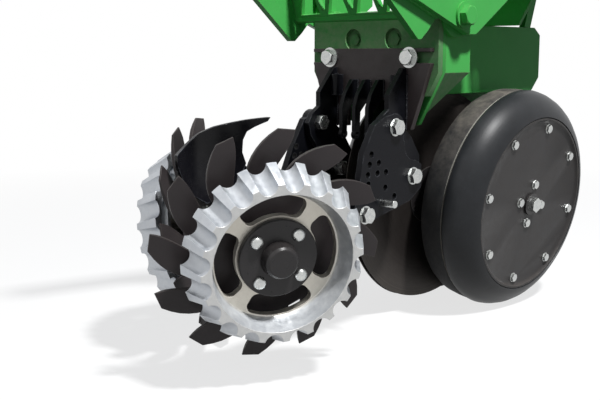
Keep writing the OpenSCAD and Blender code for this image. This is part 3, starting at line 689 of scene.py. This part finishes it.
# Gloss black over smooth plate: blue black, with thin bright rubs on its edges.
arm_black = enamel("gloss_black_enamel", low="#0b0c10", high="#131419", rough=0.30, gleam=0.11,
                   dust="#4a4640", dust_share=0.14, worn="#6b6d72", worn_share=0.5)
for lug in ("left_bracket_lug", "right_bracket_lug", "centre_lugs"):
    finished(lug, arm_black, edge_mm=0.8)
plate_face = -50
bolt_x, bolt_z = 88, -237
bolted("bracket_bolts",
       [([((x, plate_face, bolt_z), (0, -1, 0)) for x in (-bolt_x, bolt_x)],
         dict(flats=23.5, head=10, washer_radius=17, washer=3, shank_radius=8, grip=30, nut=14, tail=2))],
       zinc)
# Beads run up both faces of every lug where it meets the plate.
lug_lines = []
for lug_faces, bottom, top in (((71, 83, -71, -83), -354, -266),
                               ((-34, -24, -5, 5, 24, 34), -302, -276)):
    lug_lines += [[(x, plate_face, bottom), (x, plate_face, top)] for x in lug_faces]
welded("lug_welds", lug_lines, 5, "shank", arm_black)

# Row cleaner arms
# Two flame cut plates hang on the bracket's pivot bolts and float up as one frame with the cross
# tube. Flat bars bent in to each wheel are bolted to them and carry the spindles.
for member in ("left_cleaner_arm", "right_cleaner_arm", "cross_tube", "left_hub_bar", "right_hub_bar"):
    finished(member, arm_black, edge_mm=0.8)
arm_bolt = dict(flats=23.5, head=10, washer_radius=14.5, washer=0.6, shank_radius=8)
float_seat, arm_seat = 96.6, 96.1
float_pivot = [c * 1000 for c in row_joint("cleaner_float")["pos_m"]]
float_bolt = dict(arm_bolt, head=9.6, grip=24.6, nut=11.5, tail=0.4)
bolted("float_bolts", [(sides(float_seat, *float_pivot[1:]), float_bolt)], zinc)
# The first pair slides in the bracket's arc slots, and the second holds the hub bars.
slot_place, bar_place = (-46, -431), (-165, -483)
bolted("arm_bolts", [(sides(arm_seat, *slot_place), dict(arm_bolt, grip=25.2, nut=12, tail=0.5)),
                     (sides(arm_seat, *bar_place), dict(arm_bolt, grip=26.6, nut=11.5, tail=0.4))],
       zinc)
finished("stop_pins", zinc, edge_mm=0.8)
# One bead goes round each end of the tube, against the hub bar.
tube_y, tube_z = -223, -478
bead_x, bead_radius = 68.5, 15.5
turns = [math.radians(a) for a in range(0, 361, 20)]
tube_ring = [(math.cos(t) * bead_radius + tube_y, math.sin(t) * bead_radius + tube_z) for t in turns]
welded("tube_welds", [[(x, y, z) for y, z in tube_ring] for x in (bead_x, -bead_x)], 5,
       "cleaner_frame", arm_black)

# Shield
# One rolled steel plate between the wheels that keeps stalks off the cross tube, on a slanted rod
# welded to that tube. Black enamel, scuffed grey where stalks rub it; the bluish grey on its edges is
# also a painted highlight.
shield_black_scuffs_and_highlight = enamel("black_enamel_scuffs_and_painted_edge_highlight", low="#101014", high="#1b1b21", rough=0.22, gleam=0.18,
                      dust="#57514b", dust_share=0.2, worn="#8a8f9a", worn_share=0.7)
finished("shield", shield_black_scuffs_and_highlight, edge_mm=0.8)
finished("shield_rod", arm_black, edge_mm=0.6)

# Row cleaner wheels
# A laser cut wheel of hooked teeth behind a notched aluminium casting that rides on the ground, both
# bolted through to a black hub with a pressed dust cap.


def cast_aluminium(name, joint):
    """Sand cast aluminium, machined in its bowl: warm grey on the web, bright and streaked where the
    bowl is turned, soft grey blue on the cone and its notches."""
    made, tree = blank(name)
    radius, out = around(tree, joint)
    place = add(tree, "ShaderNodeTexCoord").outputs["Object"]
    mottle = add(tree, "ShaderNodeTexNoise", None,
                 {"Vector": place, "Scale": per_mm(12), "Detail": 7.0, "Roughness": 0.68})
    skin = add(tree, "ShaderNodeMix", {"data_type": "RGBA"},
               {0: mottle.outputs[0], 6: hexa("#a8aeb6"), 7: hexa("#d4d6d8")})
    deep = add(tree, "ShaderNodeMapRange", None,
               {"Value": out, "From Min": -0.002, "From Max": -0.008, "To Min": 0.0, "To Max": 1.0})
    inside = add(tree, "ShaderNodeMapRange", None,
                 {"Value": radius, "From Min": 0.095, "From Max": 0.091, "To Min": 0.0, "To Max": 1.0})
    recess = add(tree, "ShaderNodeMath", {"operation": "MULTIPLY"},
                 {0: deep.outputs[0], 1: inside.outputs[0]})
    ring = add(tree, "ShaderNodeMapRange", None,
               {"Value": out, "From Min": 0.0228, "From Max": 0.0237, "To Min": 0.0, "To Max": 0.4})
    raw = add(tree, "ShaderNodeMath", {"operation": "MAXIMUM"}, {0: recess.outputs[0], 1: ring.outputs[0]})
    web = add(tree, "ShaderNodeMix", {"data_type": "RGBA"},
              {0: mottle.outputs[0], 6: hexa("#aea99e"), 7: hexa("#d6d2c8")})
    near = add(tree, "ShaderNodeMapRange", None,
               {"Value": radius, "From Min": 0.104, "From Max": 0.1022, "To Min": 0.0, "To Max": 1.0})
    bowl = add(tree, "ShaderNodeMath", {"operation": "SUBTRACT", "use_clamp": True},
               {0: near.outputs[0], 1: recess.outputs[0]})
    streak = add(tree, "ShaderNodeMix", {"data_type": "RGBA"},
                 {0: mottle.outputs[0], 6: hexa("#aab0b8"), 7: hexa("#eceeef")})
    turned = add(tree, "ShaderNodeMix", {"data_type": "RGBA"},
                 {0: bowl.outputs[0], 6: skin.outputs[2], 7: streak.outputs[2]})
    tone = add(tree, "ShaderNodeMix", {"data_type": "RGBA"},
               {0: raw.outputs[0], 6: turned.outputs[2], 7: web.outputs[2]})
    dull = add(tree, "ShaderNodeMapRange", None,
               {"Value": bowl.outputs[0], "From Min": 0.0, "From Max": 1.0, "To Min": 0.75, "To Max": 0.5})
    lines = add(tree, "ShaderNodeTexNoise", {"noise_dimensions": "1D"},
                {"W": radius, "Scale": per_mm(1.4), "Detail": 3.0, "Roughness": 0.7})
    shine = add(tree, "ShaderNodeMapRange", None,
                {"Value": mottle.outputs[0], "From Min": 0.3, "From Max": 0.7,
                 "To Min": 0.34, "To Max": 0.54})
    sand = add(tree, "ShaderNodeTexNoise", None, {"Vector": place, "Scale": per_mm(1.5), "Detail": 4.0})
    both = add(tree, "ShaderNodeMath", {"operation": "ADD"}, {0: lines.outputs[0], 1: sand.outputs[0]})
    bump = add(tree, "ShaderNodeBump", None,
               {"Strength": 0.35, "Distance": 0.0004, "Height": both.outputs[0]})
    metal = add(tree, "ShaderNodeBsdfPrincipled", None,
                {"Base Color": tone.outputs[2], "Roughness": shine.outputs[0], "Normal": bump.outputs[0],
                 "Metallic": dull.outputs[0]})
    add(tree, "ShaderNodeOutputMaterial", None, {"Surface": metal.outputs[0]})
    return made


# Satin black over laser cut plate: brown black, dry, rubbed at the tooth edges.
tooth_black = enamel("satin_black_tooth_paint", low="#282425", high="#332e2f", rough=0.44, gleam=0.28,
                     dust="#57504a", dust_share=0.2, worn="#6d665f", worn_share=0.4)
hub_bolt = dict(flats=14.7, head=6.2, washer_radius=9.4, washer=1.6, shank_radius=5, grip=52.2, nut=7.6,
                tail=0.2)
bolt_seat = 0.1
bolt_circle, bolt_start = 43, 52
for side in ("left", "right"):
    axle = row_joint(side + "_cleaner_spin")
    finished(side + "_tooth_wheel", tooth_black, edge_mm=0.6)
    finished(side + "_floater", cast_aluminium("sand_cast_aluminium_" + side, axle),
             edge_mm=1.4, steps=3)
    finished(side + "_cleaner_hub", hub_black, edge_mm=0.7)
    finished(side + "_hub_cap", hub_black, edge_mm=2.2, steps=4)
    bolted(side + "_hub_bolts",
           [([on_wheel(axle, bolt_start + 90 * i, bolt_circle, bolt_seat) for i in range(4)], hub_bolt)],
           zinc, domed=True)
